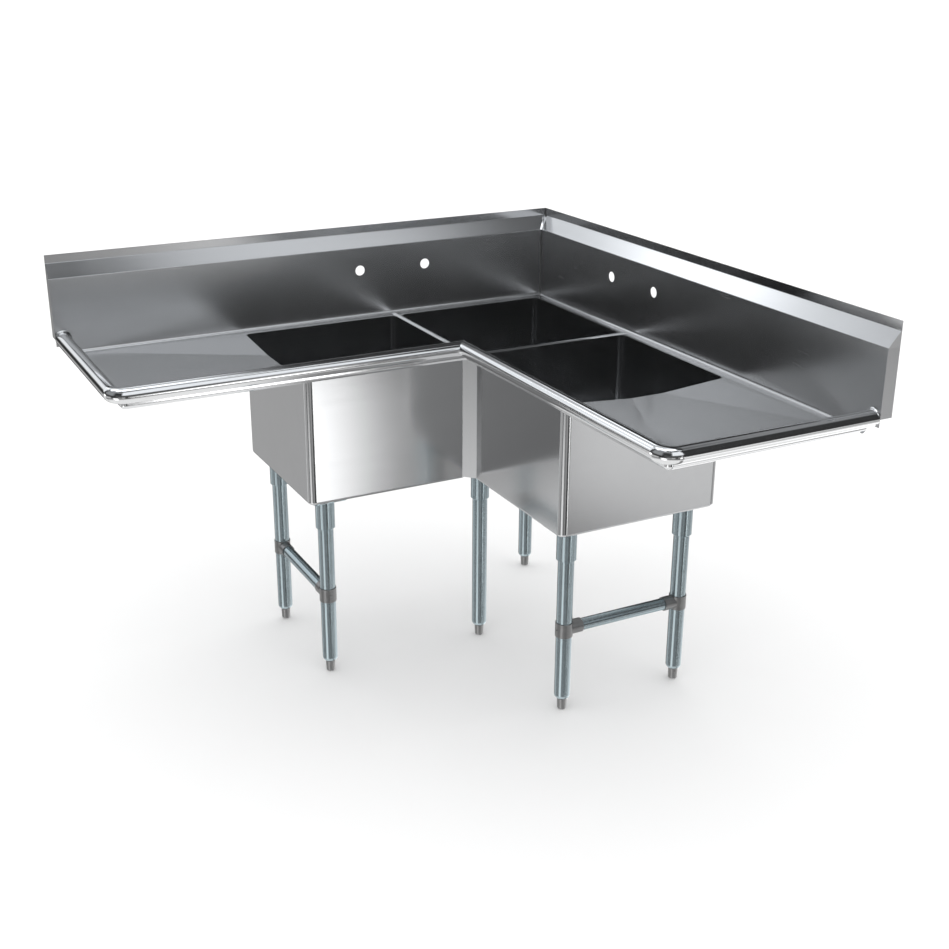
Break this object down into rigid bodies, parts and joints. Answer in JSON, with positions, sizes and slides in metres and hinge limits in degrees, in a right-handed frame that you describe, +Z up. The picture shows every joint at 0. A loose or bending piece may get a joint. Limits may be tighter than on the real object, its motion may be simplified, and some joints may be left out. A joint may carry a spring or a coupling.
{
  "type": "corner kitchen sink",
  "caption": "L-shaped free-standing stainless corner sink with deep bowls, sloping drainboards, rolled rim, high splash with faucet holes, and tubular legs on adjustable feet.",
  "frame": {"origin": "on the floor, under the middle of the square that the two wings span", "axes": "+Y towards the back wall, +X towards the right wall, +Z up"},
  "size_m": [1.486, 1.486, 1.1113],
  "materials": {
    "satin_stainless": "satin",
    "bowl_stainless": "satin",
    "polished_stainless": "polished",
    "galvanised_steel": "galvanised",
    "dark_casting": "matt",
    "dark_foot": "matt",
    "screw_steel": "zinc plated",
    "drain_metal": "plated",
    "strainer_steel": "polished",
    "black_rubber": "matt",
    "fibre_washer": "matt"
  },
  "bodies": {
    "sink": {"splash_left": "satin_stainless", "splash_end_cap_left": "satin_stainless", "drainboard_left": "satin_stainless", "bowl_left": "bowl_stainless", "rim_front_left": "polished_stainless", "rim_corner_left": "polished_stainless", "rim_end_left": "polished_stainless", "divider_cap_left": "polished_stainless", "board_channel_left": "galvanised_steel", "crossbar_left": "galvanised_steel", "clamp_wall_left": "dark_casting", "clamp_front_left": "dark_casting", "splash_right": "satin_stainless", "splash_end_cap_right": "satin_stainless", "drainboard_right": "satin_stainless", "bowl_right": "bowl_stainless", "rim_front_right": "polished_stainless", "rim_corner_right": "polished_stainless", "rim_end_right": "polished_stainless", "divider_cap_right": "polished_stainless", "board_channel_right": "galvanised_steel", "crossbar_right": "galvanised_steel", "clamp_wall_right": "dark_casting", "clamp_front_right": "dark_casting", "bowl_corner": "bowl_stainless", "corner_filler": "bowl_stainless", "gusset_plates": "galvanised_steel", "foot_inserts": "galvanised_steel", "leg_socket_left_wall": "galvanised_steel", "leg_left_wall": "galvanised_steel", "leg_socket_left_front": "galvanised_steel", "leg_left_front": "galvanised_steel", "leg_socket_corner_wall": "galvanised_steel", "leg_corner_wall": "galvanised_steel", "leg_socket_corner_front": "galvanised_steel", "leg_corner_front": "galvanised_steel", "leg_socket_right_front": "galvanised_steel", "leg_right_front": "galvanised_steel", "leg_socket_right_wall": "galvanised_steel", "leg_right_wall": "galvanised_steel", "socket_screws": "screw_steel", "clamp_screws": "screw_steel", "drain_body_left": "drain_metal", "drain_body_corner": "drain_metal", "drain_body_right": "drain_metal", "drain_lock_nuts": "drain_metal", "drain_gaskets": "black_rubber", "drain_washers": "fibre_washer"},
    "foot_left_wall": {"foot_left_wall": "dark_foot"},
    "foot_left_front": {"foot_left_front": "dark_foot"},
    "foot_corner_wall": {"foot_corner_wall": "dark_foot"},
    "foot_corner_front": {"foot_corner_front": "dark_foot"},
    "foot_right_front": {"foot_right_front": "dark_foot"},
    "foot_right_wall": {"foot_right_wall": "dark_foot"},
    "strainer_left": {"strainer_left": "strainer_steel"},
    "strainer_corner": {"strainer_corner": "strainer_steel"},
    "strainer_right": {"strainer_right": "strainer_steel"}
  },
  "joints": [
    {"name": "foot_left_wall_screw", "type": "slide", "parent": "sink", "child": "foot_left_wall", "axis": [0, 0, -1], "range_m": [0, 0.025]},
    {"name": "foot_left_front_screw", "type": "slide", "parent": "sink", "child": "foot_left_front", "axis": [0, 0, -1], "range_m": [0, 0.025]},
    {"name": "foot_corner_wall_screw", "type": "slide", "parent": "sink", "child": "foot_corner_wall", "axis": [0, 0, -1], "range_m": [0, 0.025]},
    {"name": "foot_corner_front_screw", "type": "slide", "parent": "sink", "child": "foot_corner_front", "axis": [0, 0, -1], "range_m": [0, 0.025]},
    {"name": "foot_right_front_screw", "type": "slide", "parent": "sink", "child": "foot_right_front", "axis": [0, 0, -1], "range_m": [0, 0.025]},
    {"name": "foot_right_wall_screw", "type": "slide", "parent": "sink", "child": "foot_right_wall", "axis": [0, 0, -1], "range_m": [0, 0.025]},
    {"name": "strainer_left_lift", "type": "slide", "parent": "sink", "child": "strainer_left", "axis": [0, 0, 1], "range_m": [0, 0.46]},
    {"name": "strainer_corner_lift", "type": "slide", "parent": "sink", "child": "strainer_corner", "axis": [0, 0, 1], "range_m": [0, 0.46]},
    {"name": "strainer_right_lift", "type": "slide", "parent": "sink", "child": "strainer_right", "axis": [0, 0, 1], "range_m": [0, 0.46]}
  ]
}
